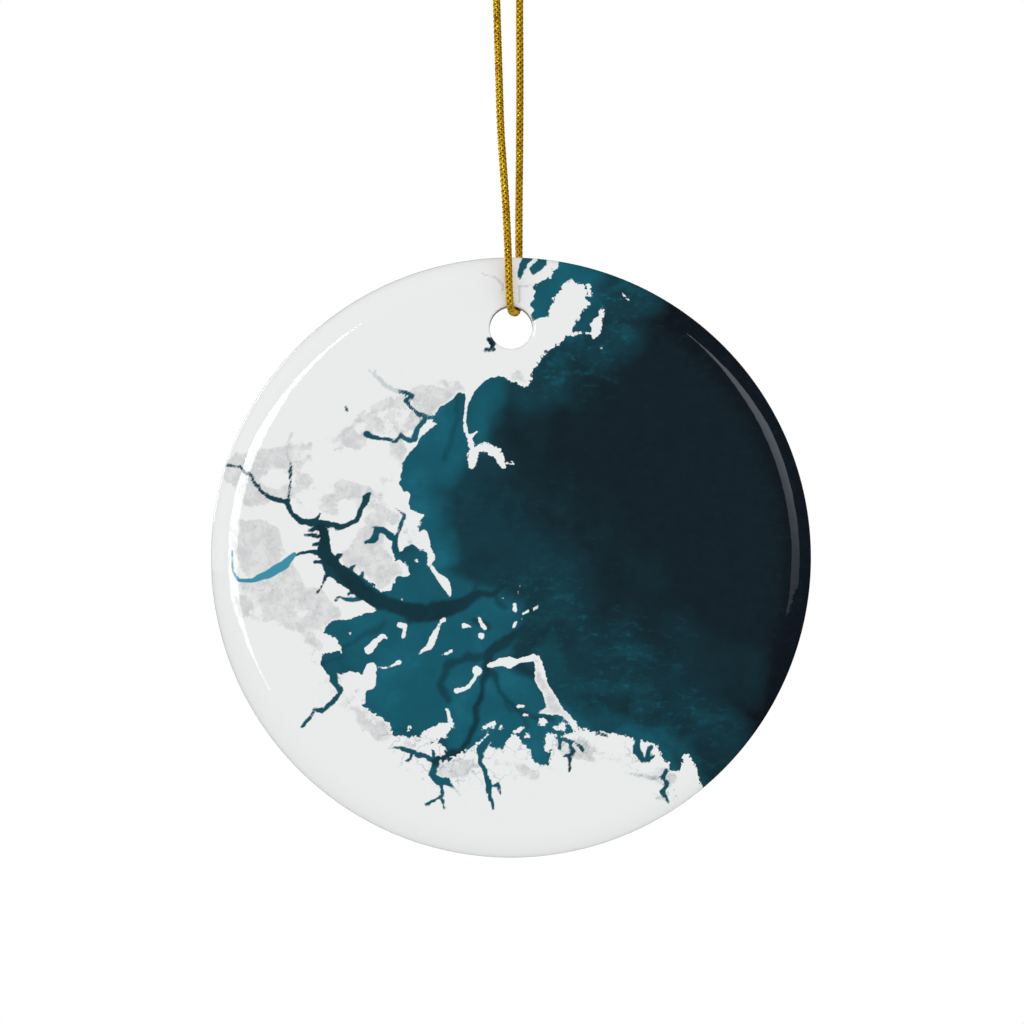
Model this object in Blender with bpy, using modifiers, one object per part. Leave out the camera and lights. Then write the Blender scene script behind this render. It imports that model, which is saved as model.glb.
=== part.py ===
"""A flat round ceramic ornament that hangs in a doubled gold cord.

Blender 4.5, in metres, +Z up. The origin is the seat where a hook holds the cord's loop, just under
its knot. The disc hangs straight below, with its decorated face towards -Y. The cord is one piece in
use. Here it is cut into stretches at the places where it twists and where it bends round the hole.
"""

import math

import bpy
from mathutils import Vector

MM = 0.001

# The ceramic disc.
DISC_DIAMETER = 73 * MM
DISC_THICKNESS = 4 * MM
RIM_WIDTH = 3 * MM
RIM_STEPS = 9
DISC_SEGMENTS = 96

# The hanging hole, and its glazed edges.
HOLE_DIAMETER = 5.2 * MM
HOLE_BELOW_TOP = 8.6 * MM
HOLE_EDGE_RADIUS = 0.5 * MM
HOLE_EDGE_STEPS = 4
HOLE_EDGE_SWEEP = math.radians(80)
HOLE_SEGMENTS = 40
CUTTER_OVERRUN = 1 * MM

# The cord. The seat is the origin, so heights below it are negative.
CORD_DIAMETER = 0.9 * MM
DISC_TOP_BELOW_SEAT = 70 * MM
CORD_IN_HOLE_CLEARANCE = 0.18 * MM
CORD_GAP = 0.36 * MM
TWIST_CUT_HEIGHT = -10 * MM
BEND_CUT_HEIGHT = -74.2 * MM
LEG_POINT_SPACING = 2.4 * CORD_DIAMETER
BEND_POINT_SPACING = 0.55 * CORD_DIAMETER
SPLINE_STEPS = 40

# The knot's outer shape: a barrel, a little flattened from front to back.
KNOT_BOTTOM = 0.3 * MM
KNOT_HEIGHT = 4.6 * MM
KNOT_WIDTH = 4.2 * MM
KNOT_DEPTH = 3.3 * MM
KNOT_STEPS = 10
KNOT_SEGMENTS = 24
KNOT_SQUARENESS = 2.6

HOLE_CENTRE = Vector((0, 0, -(DISC_TOP_BELOW_SEAT + HOLE_BELOW_TOP)))
HOLE_TOP = HOLE_CENTRE + Vector((0, 0, HOLE_DIAMETER / 2))
DISC_CENTRE = Vector((0, 0, -(DISC_TOP_BELOW_SEAT + DISC_DIAMETER / 2)))
BEND_HEIGHT = HOLE_TOP.z - CORD_IN_HOLE_CLEARANCE - CORD_DIAMETER / 2

# The cord's route below the knot, in millimetres: down the front, through the hole, up the back.
LOWEST = BEND_HEIGHT / MM
LOOP_ROUTE = [
    (-0.48, -0.05, 0.0),
    (-1.15, -0.15, -4.0),
    (-1.85, -0.35, -12.0),
    (-2.10, -0.65, -22.0),
    (-2.00, -1.00, -32.0),
    (-1.74, -1.32, -39.5),
    (-1.48, -1.66, -47.5),
    (-1.22, -2.05, -55.0),
    (-0.92, -2.42, -59.5),
    (-0.60, -2.76, -64.3),
    (-0.38, -2.98, -69.0),
    (-0.27, -3.02, -72.5),
    (-0.18, -2.98, LOWEST + 1.80),
    (-0.08, -2.45, LOWEST + 0.53),
    (0.12, -1.20, LOWEST),
    (0.34, 0.00, LOWEST - 0.04),
    (0.57, 1.20, LOWEST),
    (0.80, 2.45, LOWEST + 0.53),
    (0.90, 2.98, LOWEST + 1.80),
    (0.95, 3.02, -72.5),
    (0.97, 2.98, -69.0),
    (0.97, 2.70, -64.0),
    (1.04, 2.15, -57.0),
    (1.08, 1.62, -48.0),
    (1.04, 1.25, -39.5),
    (1.12, 0.90, -29.0),
    (1.22, 0.56, -18.5),
    (1.12, 0.30, -9.5),
    (0.85, 0.12, -3.8),
    (0.48, 0.05, 0.0),
]
TAIL_ROUTES = {
    "cord_tail_left": [(-0.50, -0.10, 5.2), (-0.95, -0.25, 7.0), (-1.75, -0.35, 9.2), (-2.35, -0.20, 11.2)],
    "cord_tail_right": [(0.50, 0.10, 5.2), (0.72, 0.35, 7.2), (1.20, 0.60, 9.6), (1.95, 0.55, 11.8)],
}

GLAZE_COLOUR = (0.83, 0.84, 0.84, 1)
GOLD_COLOUR = (0.62, 0.42, 0.07, 1)


def clear_scene():
    for thing in list(bpy.data.objects):
        bpy.data.objects.remove(thing)


def make_collection(name, for_cutters=False):
    collection = bpy.data.collections.new(name)
    bpy.context.scene.collection.children.link(collection)
    collection.hide_render = for_cutters
    return collection


def make_material(name, colour, roughness, metallic):
    material = bpy.data.materials.new(name)
    material.use_nodes = True
    shader = material.node_tree.nodes["Principled BSDF"]
    shader.inputs["Base Color"].default_value = colour
    shader.inputs["Roughness"].default_value = roughness
    shader.inputs["Metallic"].default_value = metallic
    return material


def add_joint_place(name, place, parent, collection):
    """An empty on a joint's axis. What moves with that joint is its child."""
    empty = bpy.data.objects.new(name, None)
    empty.empty_display_size = 5 * MM
    collection.objects.link(empty)
    empty.parent = parent
    empty.location = place - (parent.matrix_world.translation if parent else Vector())
    bpy.context.view_layer.update()
    return empty


def attach(piece, parent):
    """Parents a piece to a joint's empty and keeps it where it is."""
    bpy.context.view_layer.update()
    world = piece.matrix_world.copy()
    piece.parent = parent
    piece.matrix_world = world


def turned(name, profile, segments, collection):
    """A solid turned about its own Z axis from (radius, height) points that run down its outer side."""
    mesh = bpy.data.meshes.new(name)
    edges = [(i, i + 1) for i in range(len(profile) - 1)]
    mesh.from_pydata([(radius, 0, height) for radius, height in profile], edges, [])
    solid = bpy.data.objects.new(name, mesh)
    collection.objects.link(solid)
    screw = solid.modifiers.new("Turn", "SCREW")
    screw.steps = segments
    screw.render_steps = segments
    screw.use_merge_vertices = True
    screw.merge_threshold = 0.01 * MM
    screw.use_smooth_shade = True
    return solid


def disc_profile():
    """Half of the disc's section: a flat face, an elliptical rim and the other flat face."""
    flat_radius = DISC_DIAMETER / 2 - RIM_WIDTH
    half = DISC_THICKNESS / 2
    rim = []
    for step in range(2 * RIM_STEPS + 1):
        angle = math.pi * step / (2 * RIM_STEPS)
        rim.append((flat_radius + RIM_WIDTH * math.sin(angle), half * math.cos(angle)))
    return [(0, half), *rim, (0, -half)]


def hole_profile():
    """Half of the cutter's section: it flares at both faces, to leave rounded edges on the hole."""
    half = DISC_THICKNESS / 2
    radius = HOLE_DIAMETER / 2
    upper = []
    for step in range(HOLE_EDGE_STEPS + 1):
        angle = HOLE_EDGE_SWEEP * (1 - step / HOLE_EDGE_STEPS)
        flare = HOLE_EDGE_RADIUS * (1 - math.cos(angle))
        rise = HOLE_EDGE_RADIUS * math.sin(angle) - HOLE_EDGE_RADIUS * math.sin(HOLE_EDGE_SWEEP)
        upper.append((radius + flare, half + rise))
    mouth = upper[0][0]
    end = half + CUTTER_OVERRUN
    lower = [(r, -h) for r, h in reversed(upper)]
    return [(0, end), (mouth, end), *upper, *lower, (mouth, -end), (0, -end)]


def build_disc(collection, cutters, glaze):
    facing_front = (math.pi / 2, 0, 0)
    disc = turned("ceramic_disc", disc_profile(), DISC_SEGMENTS, collection)
    disc.rotation_euler = facing_front
    disc.location = DISC_CENTRE
    disc.data.materials.append(glaze)

    cutter = turned("hanging_hole_cutter", hole_profile(), HOLE_SEGMENTS, cutters)
    cutter.rotation_euler = facing_front
    cutter.location = HOLE_CENTRE
    cutter.hide_render = True
    cutter.display_type = "WIRE"

    cut = disc.modifiers.new("Hanging hole", "BOOLEAN")
    cut.operation = "DIFFERENCE"
    cut.object = cutter
    return disc


def smooth_curve(route):
    """Many points along a centripetal Catmull-Rom curve through the route's points, in metres."""
    points = [Vector(p) * MM for p in route]
    points = [2 * points[0] - points[1], *points, 2 * points[-1] - points[-2]]
    curve = []
    for a, b, c, d in zip(points, points[1:], points[2:], points[3:]):
        knots = [0.0]
        for start, end in ((a, b), (b, c), (c, d)):
            knots.append(knots[-1] + math.sqrt((end - start).length))
        t0, t1, t2, t3 = knots
        for step in range(SPLINE_STEPS):
            t = t1 + (t2 - t1) * step / SPLINE_STEPS
            ab = a.lerp(b, (t - t0) / (t1 - t0))
            bc = b.lerp(c, (t - t1) / (t2 - t1))
            cd = c.lerp(d, (t - t2) / (t3 - t2))
            abc = ab.lerp(bc, (t - t0) / (t2 - t0))
            bcd = bc.lerp(cd, (t - t1) / (t3 - t1))
            curve.append(abc.lerp(bcd, (t - t1) / (t2 - t1)))
    curve.append(points[-2])
    return curve


def spaced(curve, spacing):
    """Points at even distances along a curve, with both of its ends."""
    along = [0.0]
    for a, b in zip(curve, curve[1:]):
        along.append(along[-1] + (b - a).length)
    count = max(2, round(along[-1] / spacing))
    points = []
    i = 0
    for step in range(count + 1):
        wanted = along[-1] * step / count
        while i < len(curve) - 2 and along[i + 1] < wanted:
            i += 1
        share = (wanted - along[i]) / (along[i + 1] - along[i])
        points.append(curve[i].lerp(curve[i + 1], share))
    return points


def between_heights(curve, low, high):
    """The stretch of a curve that rises or falls between two heights."""
    return [p for p in curve if low <= p.z <= high]


def cord_tube(name, points, collection, gold):
    data = bpy.data.curves.new(name, "CURVE")
    data.dimensions = "3D"
    data.bevel_depth = CORD_DIAMETER / 2
    data.bevel_resolution = 2
    data.use_fill_caps = True
    spline = data.splines.new("POLY")
    spline.points.add(len(points) - 1)
    for point, place in zip(spline.points, points):
        point.co = (*place, 1)
    spline.use_smooth = True
    tube = bpy.data.objects.new(name, data)
    tube.data.materials.append(gold)
    collection.objects.link(tube)
    return tube


def build_loop(collection, gold):
    """The cord's stretches below the knot, by the place each has in the loop."""
    loop = smooth_curve(LOOP_ROUTE)
    middle = min(range(len(loop)), key=lambda i: loop[i].z)
    front, back = loop[:middle], loop[middle:]
    half_gap = CORD_GAP / 2
    top = (TWIST_CUT_HEIGHT + half_gap, 0)
    leg = (BEND_CUT_HEIGHT + half_gap, TWIST_CUT_HEIGHT - half_gap)
    bend = (-math.inf, BEND_CUT_HEIGHT - half_gap)
    pieces = {
        "cord_top_front": (between_heights(front, *top), LEG_POINT_SPACING),
        "cord_top_back": (between_heights(back, *top), LEG_POINT_SPACING),
        "cord_leg_front": (between_heights(front, *leg), LEG_POINT_SPACING),
        "cord_leg_back": (between_heights(back, *leg), LEG_POINT_SPACING),
        "cord_bight": (between_heights(loop, *bend), BEND_POINT_SPACING),
    }
    return {
        name: cord_tube(name, spaced(curve, spacing), collection, gold)
        for name, (curve, spacing) in pieces.items()
    }


def build_knot(collection, gold):
    """The outer shape of the overhand knot that joins the cord's ends, and its two tails."""
    profile = []
    for step in range(KNOT_STEPS + 1):
        angle = math.pi * step / KNOT_STEPS
        across = math.sin(angle) ** (2 / KNOT_SQUARENESS)
        up = math.copysign(abs(math.cos(angle)) ** (2 / KNOT_SQUARENESS), math.cos(angle))
        profile.append((KNOT_WIDTH / 2 * across, KNOT_HEIGHT / 2 * up))
    profile[0] = (0, KNOT_HEIGHT / 2)
    profile[-1] = (0, -KNOT_HEIGHT / 2)
    knot = turned("cord_knot", profile, KNOT_SEGMENTS, collection)
    knot.location = (0, 0, KNOT_BOTTOM + KNOT_HEIGHT / 2)
    knot.scale = (1, KNOT_DEPTH / KNOT_WIDTH, 1)
    knot.data.materials.append(gold)
    for name, route in TAIL_ROUTES.items():
        cord_tube(name, spaced(smooth_curve(route), LEG_POINT_SPACING), collection, gold)


def main():
    clear_scene()
    ornament = make_collection("souvenir_ornament")
    cutters = make_collection("cutters", for_cutters=True)
    glaze = make_material("glazed_ceramic", GLAZE_COLOUR, roughness=0.08, metallic=0)
    gold = make_material("gold_cord", GOLD_COLOUR, roughness=0.35, metallic=1)

    build_knot(ornament, gold)
    stretches = build_loop(ornament, gold)
    disc = build_disc(ornament, cutters, glaze)

    twist = add_joint_place("cord_twist_axis", Vector(), None, ornament)
    tilt = add_joint_place("disc_tilt_axis", HOLE_TOP, twist, ornament)
    swing = add_joint_place("disc_swing_axis", HOLE_CENTRE, tilt, ornament)
    attach(stretches["cord_leg_front"], twist)
    attach(stretches["cord_leg_back"], twist)
    attach(stretches["cord_bight"], tilt)
    attach(disc, swing)
    attach(bpy.data.objects["hanging_hole_cutter"], swing)


main()
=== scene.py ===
"""The looks of a hanging ceramic ornament: a glazed disc with a printed coast, and a braided gold cord."""

import math

import bpy
import numpy as np
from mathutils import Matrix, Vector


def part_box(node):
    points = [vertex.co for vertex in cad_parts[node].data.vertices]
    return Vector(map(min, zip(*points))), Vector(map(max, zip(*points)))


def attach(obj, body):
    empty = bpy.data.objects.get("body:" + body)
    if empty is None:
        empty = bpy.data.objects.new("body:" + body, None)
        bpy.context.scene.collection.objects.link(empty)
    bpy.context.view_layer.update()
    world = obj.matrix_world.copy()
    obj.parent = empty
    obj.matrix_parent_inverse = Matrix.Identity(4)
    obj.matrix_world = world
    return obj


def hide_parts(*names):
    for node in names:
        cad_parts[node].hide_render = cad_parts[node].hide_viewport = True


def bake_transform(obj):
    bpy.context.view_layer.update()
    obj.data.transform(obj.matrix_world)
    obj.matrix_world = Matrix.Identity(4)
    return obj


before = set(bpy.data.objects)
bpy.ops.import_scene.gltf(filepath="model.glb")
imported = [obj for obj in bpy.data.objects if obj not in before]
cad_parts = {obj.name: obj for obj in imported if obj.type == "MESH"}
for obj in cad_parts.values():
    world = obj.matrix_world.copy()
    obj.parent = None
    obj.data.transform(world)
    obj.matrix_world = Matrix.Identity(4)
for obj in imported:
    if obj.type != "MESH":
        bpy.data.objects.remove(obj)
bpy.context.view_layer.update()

# Lengths are in millimetres unless a comment says otherwise, and MM turns them into metres.
MM = 0.001

# ---- the frame's own sizes

DISC_LOW, DISC_HIGH = (np.array(corner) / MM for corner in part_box("ceramic_disc"))
DISC_RADIUS = (DISC_HIGH[0] - DISC_LOW[0]) / 2
DISC_HALF_THICKNESS = (DISC_HIGH[1] - DISC_LOW[1]) / 2
DISC_CENTRE_Z = (DISC_HIGH[2] + DISC_LOW[2]) / 2
HOLE_RADIUS = 2.6
HOLE_BELOW_TOP = 8.6
HOLE_Z = DISC_HIGH[2] - HOLE_BELOW_TOP
HOLE_EDGE_RADIUS = 0.35
RIM_WIDTH = 3.3


# ---- small helpers

def linear(red, green, blue):
    """Scene-linear colour of an sRGB colour given from 0 to 255."""
    values = np.array([red, green, blue]) / 255
    curved = np.where(values <= 0.04045, values / 12.92, ((values + 0.055) / 1.055) ** 2.4)
    return (*curved.tolist(), 1.0)


def smoothstep(low, high, value):
    t = np.clip((value - low) / (high - low), 0, 1)
    return t * t * (3 - 2 * t)


def unit(vectors):
    """The same directions, each of length 1."""
    return vectors / np.linalg.norm(vectors, axis=1)[:, None]


def distances(points):
    """How far along the line each of its points lies."""
    return np.concatenate([[0], np.cumsum(np.linalg.norm(np.diff(points, axis=0), axis=1))])


def add_object(name, data):
    obj = bpy.data.objects.new(name, data)
    bpy.context.scene.collection.objects.link(obj)
    return obj


def add_mesh(name, points, faces, material, attributes=None):
    """A smooth-shaded mesh object from points in millimetres."""
    mesh = bpy.data.meshes.new(name)
    mesh.from_pydata((np.asarray(points) * MM).tolist(), [], faces)
    mesh.validate()
    mesh.update()
    mesh.shade_smooth()
    for key, values in (attributes or {}).items():
        layer = mesh.attributes.new(key, "FLOAT", "POINT")
        layer.data.foreach_set("value", np.asarray(values, np.float32))
    mesh.materials.append(material)
    return add_object(name, mesh)


class Nodes:
    """A node tree with short ways to add nodes and link them."""

    def __init__(self, tree):
        self.tree = tree
        tree.nodes.clear()

    def add(self, kind, inputs=None, **settings):
        made = self.tree.nodes.new(kind)
        for key, value in settings.items():
            setattr(made, key, value)
        for key, value in (inputs or {}).items():
            self.put(value, made.inputs[key])
        return made

    def put(self, value, socket):
        if isinstance(value, bpy.types.NodeSocket):
            self.tree.links.new(value, socket)
        else:
            socket.default_value = value

    def math(self, operation, *values):
        made = self.add("ShaderNodeMath", operation=operation)
        for socket, value in zip(made.inputs, values):
            self.put(value, socket)
        return made.outputs[0]

    def mix(self, factor, first, second, kind="RGBA"):
        """Blends two colours, or two numbers with the kind VALUE."""
        made = self.add("ShaderNodeMix", data_type="FLOAT" if kind == "VALUE" else kind)
        sockets = [made.inputs[0], *(socket for socket in made.inputs[1:] if socket.type == kind)]
        for socket, value in zip(sockets, (factor, first, second)):
            self.put(value, socket)
        return next(socket for socket in made.outputs if socket.type == kind)

    def fade(self, value, low, high, to_low=0.0, to_high=1.0):
        made = self.add("ShaderNodeMapRange", interpolation_type="SMOOTHSTEP")
        for socket, number in zip(made.inputs, (value, low, high, to_low, to_high)):
            self.put(number, socket)
        return made.outputs[0]

    def ramp(self, factor, stops):
        made = self.add("ShaderNodeValToRGB", {"Fac": factor})
        elements = made.color_ramp.elements
        while len(elements) < len(stops):
            elements.new(1.0)
        for element, (position, colour) in zip(elements, stops):
            element.position = position
            element.color = colour
        return made.outputs[0]

    def noise(self, vector, scale, detail=2.0, roughness=0.5):
        inputs = {"Vector": vector, "Scale": scale, "Detail": detail, "Roughness": roughness}
        return self.add("ShaderNodeTexNoise", inputs).outputs[0]

    def swing(self, vector, scale, detail=2.0, roughness=0.5):
        """The same noise, taken from its middle value."""
        return self.math("SUBTRACT", self.noise(vector, scale, detail, roughness), 0.5)

    def field(self, name):
        """A value that the mesh carries at each of its points."""
        return self.add("ShaderNodeAttribute", attribute_name=name).outputs["Fac"]

    def surface(self, shader):
        self.add("ShaderNodeOutputMaterial", {"Surface": shader.outputs[0]})


def material(name):
    made = bpy.data.materials.new(name)
    made.use_nodes = True
    return made, Nodes(made.node_tree)


# ---- camera, floor and lights

CAMERA_HEIGHT = -100.96
CAMERA_DISTANCE = 380.0
CAMERA_SIDE = 0.12
PICTURE_WIDTH = 124.6
SENSOR_WIDTH = 36.0

ROOM_LIGHT = 0.84
FRONT_SHARE = 0.45
TOP_SHARE = 0.03
LEFT_GLOW = 0.7
DARK_ROOM_GLEAM = 0.012
FLOOR_LIGHT = 0.93
FLOOR_HALF_WIDTH = 3000
FLOOR_HEIGHT = -260
SOFTBOX_DISTANCE = 900
WHITE = (1, 1, 1, 1)


def make_camera():
    data = bpy.data.cameras.new("camera")
    data.sensor_width = SENSOR_WIDTH
    data.lens = SENSOR_WIDTH * CAMERA_DISTANCE / PICTURE_WIDTH
    data.clip_start = 0.01
    data.clip_end = 20
    camera = add_object("camera", data)
    camera.location = (CAMERA_SIDE * MM, -CAMERA_DISTANCE * MM, CAMERA_HEIGHT * MM)
    camera.rotation_euler = (math.pi / 2, 0, 0)
    bpy.context.scene.camera = camera
    bpy.context.scene.view_settings.view_transform = "Standard"


def make_world():
    """White behind the object, even light on matt surfaces and a nearly dark room in reflections."""
    world = bpy.data.worlds.new("studio")
    bpy.context.scene.world = world
    world.use_nodes = True
    nodes = Nodes(world.node_tree)
    direction = nodes.add("ShaderNodeTexCoord").outputs["Generated"]
    parts = nodes.add("ShaderNodeSeparateXYZ", {"Vector": direction})
    x, y, z = parts.outputs[:3]
    front = nodes.math("MULTIPLY", y, -FRONT_SHARE)
    upward = nodes.math("MULTIPLY", z, TOP_SHARE)
    room = nodes.math("ADD", nodes.math("ADD", front, upward), ROOM_LIGHT)
    left_glow = nodes.fade(x, -0.3, -0.9, 0.0, LEFT_GLOW)
    gleam = nodes.math("ADD", left_glow, DARK_ROOM_GLEAM)
    path = nodes.add("ShaderNodeLightPath")
    unseen = nodes.mix(path.outputs["Is Glossy Ray"], room, gleam, "VALUE")
    strength = nodes.mix(path.outputs["Is Camera Ray"], unseen, 1.0, "VALUE")
    sky = nodes.add("ShaderNodeBackground", {"Color": WHITE, "Strength": strength})
    nodes.add("ShaderNodeOutputWorld", {"Surface": sky.outputs[0]})


def make_floor():
    """A wide pale floor well below the ornament, as white to the camera as the backdrop."""
    made, nodes = material("floor_paper")
    path = nodes.add("ShaderNodeLightPath")
    level = nodes.fade(path.outputs["Is Camera Ray"], 0.0, 1.0, FLOOR_LIGHT, 1.0)
    level = nodes.math("MULTIPLY", level, nodes.math("SUBTRACT", 1.0, path.outputs["Is Glossy Ray"]))
    nodes.surface(nodes.add("ShaderNodeEmission", {"Color": WHITE, "Strength": level}))
    corners = [(x * FLOOR_HALF_WIDTH, y * FLOOR_HALF_WIDTH, FLOOR_HEIGHT)
               for x, y in ((-1, -1), (1, -1), (1, 1), (-1, 1))]
    add_mesh("floor", corners, [(0, 1, 2, 3)], made)


def make_softbox(name, across, up, strength, fade_to=1.0, behind=False, tint=(1, 1, 1)):
    """A soft light seen from the disc's middle between two sideways and two upward slopes."""
    distance = SOFTBOX_DISTANCE
    data = bpy.data.lights.new(name, "AREA")
    data.shape = "RECTANGLE"
    width = (across[1] - across[0]) * distance
    height = (up[1] - up[0]) * distance
    data.size = width * MM
    data.size_y = height * MM
    area = width * height * MM * MM
    data.energy = strength * area * math.pi
    data.color = tint
    if fade_to < 1:
        data.use_nodes = True
        nodes = Nodes(data.node_tree)
        place = nodes.add("ShaderNodeTexCoord").outputs["UV"]
        parts = nodes.add("ShaderNodeSeparateXYZ", {"Vector": place})
        level = nodes.fade(parts.outputs[1], 0.0, 0.8, fade_to, 1.0)
        glow = nodes.add("ShaderNodeEmission", {"Color": WHITE, "Strength": level})
        nodes.add("ShaderNodeOutputLight", {"Surface": glow.outputs[0]})
    light = add_object(name, data)
    side = distance if behind else -distance
    middle_x = sum(across) / 2 * distance
    middle_z = sum(up) / 2 * distance + DISC_CENTRE_Z
    light.location = (middle_x * MM, side * MM, middle_z * MM)
    # An area light shines along its own -Z, so it is stood up to face the disc's plane.
    light.rotation_euler = (math.radians(-90 if behind else 90), 0, 0)
    light.visible_camera = False
    # It only makes highlights: the room lights the matt part of every surface evenly.
    light.visible_diffuse = False


make_camera()
make_world()
make_floor()
make_softbox("left_softbox", (-0.56, -0.15), (-0.105, 0.235), 9.0, fade_to=0.5)
make_softbox("right_softbox", (0.44, 1.10), (-0.12, 0.55), 2.1, fade_to=0.3, tint=(0.90, 0.97, 1.10))
make_softbox("back_softbox", (-1.3, -0.7), (0.1, 0.9), 3.0, behind=True)


# ---- the cord

# The lowest point of the cord's middle line, where it bears on the top of the hole.
LOWEST = -76.63
# The cord's route from the knot's left side, down, through the hole and back up to the knot's right side.
LOOP_ROUTE = [
    (-0.48, -0.05, 0.0), (-1.15, -0.15, -4.0), (-1.85, -0.35, -12.0),
    (-2.10, -0.65, -22.0), (-2.00, -1.00, -32.0), (-1.74, -1.32, -39.5),
    (-1.48, -1.66, -47.5), (-1.22, -2.05, -55.0), (-0.92, -2.42, -59.5),
    (-0.60, -2.76, -64.3), (-0.38, -2.98, -69.0), (-0.27, -3.02, -72.5),
    (-0.18, -2.98, LOWEST + 1.80), (-0.08, -2.45, LOWEST + 0.53), (0.12, -1.20, LOWEST),
    (0.34, 0.00, LOWEST - 0.04), (0.57, 1.20, LOWEST), (0.80, 2.45, LOWEST + 0.53),
    (0.90, 2.98, LOWEST + 1.80), (0.95, 3.02, -72.5), (0.97, 2.98, -69.0),
    (0.97, 2.70, -64.0), (1.04, 2.15, -57.0), (1.08, 1.62, -48.0),
    (1.04, 1.25, -39.5), (1.12, 0.90, -29.0), (1.22, 0.56, -18.5),
    (1.12, 0.30, -9.5), (0.85, 0.12, -3.8), (0.48, 0.05, 0.0),
]
TAIL_LEFT_ROUTE = [(-0.50, -0.10, 5.2), (-0.95, -0.25, 7.0), (-1.75, -0.35, 9.2), (-2.35, -0.20, 11.2)]
TAIL_RIGHT_ROUTE = [(0.50, 0.10, 5.2), (0.72, 0.35, 7.2), (1.20, 0.60, 9.6), (1.95, 0.55, 11.8)]

KNOT_GAP = 0.3
KNOT_ROUNDS = 600
KNOT_CLEARANCE = 0.9
# Half of the distance between the knot's two lines before it is drawn tight.
LOOSE_HALF_GAP = 0.5
# Points of one line that are this few places apart don't push each other away.
NEIGHBOURS = 7
CORD_STEP = 0.16
LIGHT_ROUNDS = 12
JOIN_REACH = 14
JOIN_ROUNDS = 90


def between(a, b, start, stop, t):
    """The place at t on the straight line that passes a at start and b at stop."""
    return (a * (stop - t) + b * (t - start)) / (stop - start)


def smooth_curve(route, steps=40):
    """Points of a centripetal Catmull-Rom curve through the route."""
    points = [np.array(point, float) for point in route]
    points = [2 * points[0] - points[1], *points, 2 * points[-1] - points[-2]]
    curve = []
    for p0, p1, p2, p3 in zip(points, points[1:], points[2:], points[3:]):
        t1 = math.sqrt(np.linalg.norm(p1 - p0))
        t2 = t1 + math.sqrt(np.linalg.norm(p2 - p1))
        t3 = t2 + math.sqrt(np.linalg.norm(p3 - p2))
        for step in range(steps):
            t = t1 + (t2 - t1) * step / steps
            a1 = between(p0, p1, 0, t1, t)
            a2 = between(p1, p2, t1, t2, t)
            a3 = between(p2, p3, t2, t3, t)
            b1 = between(a1, a2, 0, t2, t)
            b2 = between(a2, a3, t1, t3, t)
            curve.append(between(b1, b2, t1, t2, t))
    return np.array([*curve, points[-2]])


def spaced(points, gap):
    """The same line with its points an even gap apart."""
    along = distances(points)
    places = np.linspace(0, along[-1], max(2, round(along[-1] / gap)) + 1)
    return np.stack([np.interp(places, along, points[:, k]) for k in range(3)], axis=1)


def frames_along(line):
    """Two directions across the line at each point, turning as little as possible."""
    along = unit(np.gradient(line, axis=0))
    aside = np.array([1.0, 0.0, 0.0])
    sides = np.empty_like(line)
    for index, direction in enumerate(along):
        aside = aside - direction * (aside @ direction)
        aside /= np.linalg.norm(aside)
        sides[index] = aside
    return sides, np.cross(along, sides)


def loose_knot(gap):
    """Two lines side by side in a loose overhand knot, from the loop's legs up to its tails."""
    t = np.linspace(-2.12, 2.12, 160)
    x, y, z = 0.85 * (t**3 - 3 * t), 0.75 * (t**4 - 4 * t**2) + 1.2, 0.34 * (t**5 - 10 * t) + 2.6
    middle = spaced(np.stack([x, y, z], axis=1), gap)
    offsets = frames_along(middle)[0] * LOOSE_HALF_GAP
    return [middle - offsets, middle + offsets]


def tighten(lines, starts, ends, rounds, clearance):
    """Draws the lines tight between fixed ends while keeping them a clearance apart."""
    count = len(lines[0])
    both = np.concatenate(lines)
    index = np.arange(count)
    far = np.abs(index[:, None] - index[None, :]) > NEIGHBOURS
    both_lines_apart = np.full((count, count), True)
    apart = np.block([[far, both_lines_apart], [both_lines_apart, far]])
    for turn in range(rounds):
        lines = both.reshape(2, count, 3)
        pull = (lines[:, :-2] + lines[:, 2:]) / 2 - lines[:, 1:-1]
        lines[:, 1:-1] += 0.25 * pull
        share = min(1.0, turn / (0.5 * rounds))
        for side in range(2):
            for place, goal in ((0, starts[side]), (-1, ends[side])):
                lines[side, place] += (np.array(goal) - lines[side, place]) * share
        both = lines.reshape(-1, 3)
        for _ in range(3):
            gaps = both[:, None] - both[None]
            lengths = np.linalg.norm(gaps, axis=2) + 1e-9
            push = np.where(apart, np.clip(clearance - lengths, 0, None), 0)
            move = (gaps / lengths[..., None] * push[..., None]).sum(1)
            hits = np.maximum((push > 0).sum(1), 1)
            both = both + 0.5 * move / hits[:, None] * np.minimum(hits, 2)[:, None]
    return both.reshape(2, count, 3)


def ease(line, share, rounds):
    """Smooths an evenly spaced line by a share at each of its points."""
    for _ in range(rounds):
        line[1:-1] += 0.5 * share[1:-1, None] * ((line[:-2] + line[2:]) / 2 - line[1:-1])


def near_joins(line, joins, reach):
    """1 at the points of the line that lie near a join between its pieces, 0 far from all of them."""
    share = np.zeros(len(line))
    for join in joins:
        middle = np.argmin(np.linalg.norm(line - join, axis=1))
        share = np.maximum(share, 1 - smoothstep(0.4, 1, np.abs(np.arange(len(line)) - middle) / reach))
    return share


YARNS_EACH_WAY = 4
BRAID_PITCH = 2.6
BRAID_RADIUS = 0.335
YARN_HALF_WIDTH = 0.165
YARN_HALF_DEPTH = 0.11
YARN_WAVE = 0.06
YARN_SIDES = 6
CORE_RADIUS = 0.27
CORE_SIDES = 8
FRAY_LENGTH = 1.0
FRAY_SPREAD = 0.45
# Each yarn's place across it starts at its own shade, so that no two look alike. The core's is the last.
YARN_SHADE = 3.7
CORE_SHADE = 40


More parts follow.
